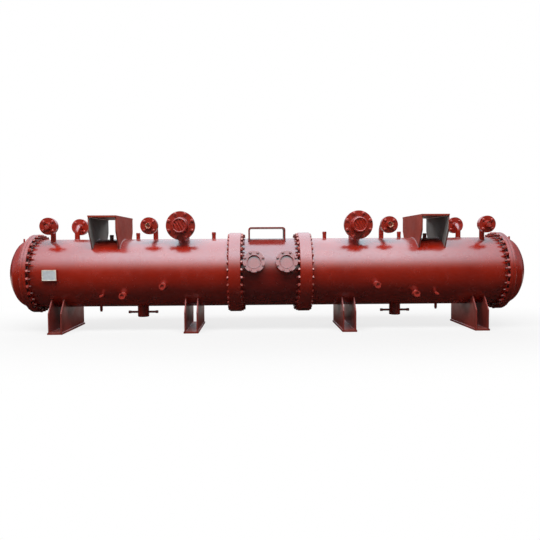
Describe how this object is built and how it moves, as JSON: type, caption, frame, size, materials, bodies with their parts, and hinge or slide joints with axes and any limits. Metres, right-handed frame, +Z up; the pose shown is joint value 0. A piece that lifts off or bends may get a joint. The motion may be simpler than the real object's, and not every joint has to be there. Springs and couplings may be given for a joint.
{
  "type": "falling film evaporator",
  "caption": "Long red horizontal evaporator vessel with a bolted middle water chamber, domed ends, plate saddles, top brackets and flanged refrigerant nozzles.",
  "frame": {"origin": "on the ground under the middle of the vessel, in the plane of its axis", "axes": "+X along the vessel to the right, +Y to the back, away from the water connections, +Z up"},
  "size_m": [6.2332, 0.9877, 1.424],
  "materials": {
    "red_paint": "semi-gloss red oxide paint",
    "bracket_paint": "duller red oxide paint on welded plate",
    "nameplate_metal": "bare satin plate"
  },
  "bodies": {
    "root": {"centre_chamber": "red_paint", "centre_bracket": "red_paint", "nameplate_standoff": "red_paint", "nameplate": "nameplate_metal", "left_shell": "red_paint", "left_chamber_flange": "red_paint", "left_centre_tubesheet": "red_paint", "left_end_tubesheet": "red_paint", "left_head_flange": "red_paint", "left_head": "red_paint", "left_saddle_bases": "bracket_paint", "left_saddle_plates": "bracket_paint", "left_bracket_top": "bracket_paint", "left_bracket_sides": "bracket_paint", "left_outer_nozzle": "red_paint", "left_rear_nozzle": "red_paint", "left_long_nozzle": "red_paint", "left_counter_flanges": "red_paint", "left_suction_nozzle": "red_paint", "left_suction_counter_flange": "red_paint", "left_suction_cover": "red_paint", "left_water_nozzle": "red_paint", "left_water_cover": "red_paint", "left_top_couplings": "red_paint", "left_lower_couplings": "red_paint", "left_sump": "red_paint", "right_shell": "red_paint", "right_chamber_flange": "red_paint", "right_centre_tubesheet": "red_paint", "right_end_tubesheet": "red_paint", "right_head_flange": "red_paint", "right_head": "red_paint", "right_saddle_bases": "bracket_paint", "right_saddle_plates": "bracket_paint", "right_bracket_top": "bracket_paint", "right_bracket_sides": "bracket_paint", "right_outer_nozzle": "red_paint", "right_rear_nozzle": "red_paint", "right_long_nozzle": "red_paint", "right_counter_flanges": "red_paint", "right_suction_nozzle": "red_paint", "right_suction_counter_flange": "red_paint", "right_suction_cover": "red_paint", "right_water_nozzle": "red_paint", "right_water_cover": "red_paint", "right_top_couplings": "red_paint", "right_lower_couplings": "red_paint", "right_sump": "red_paint"}
  },
  "joints": []
}
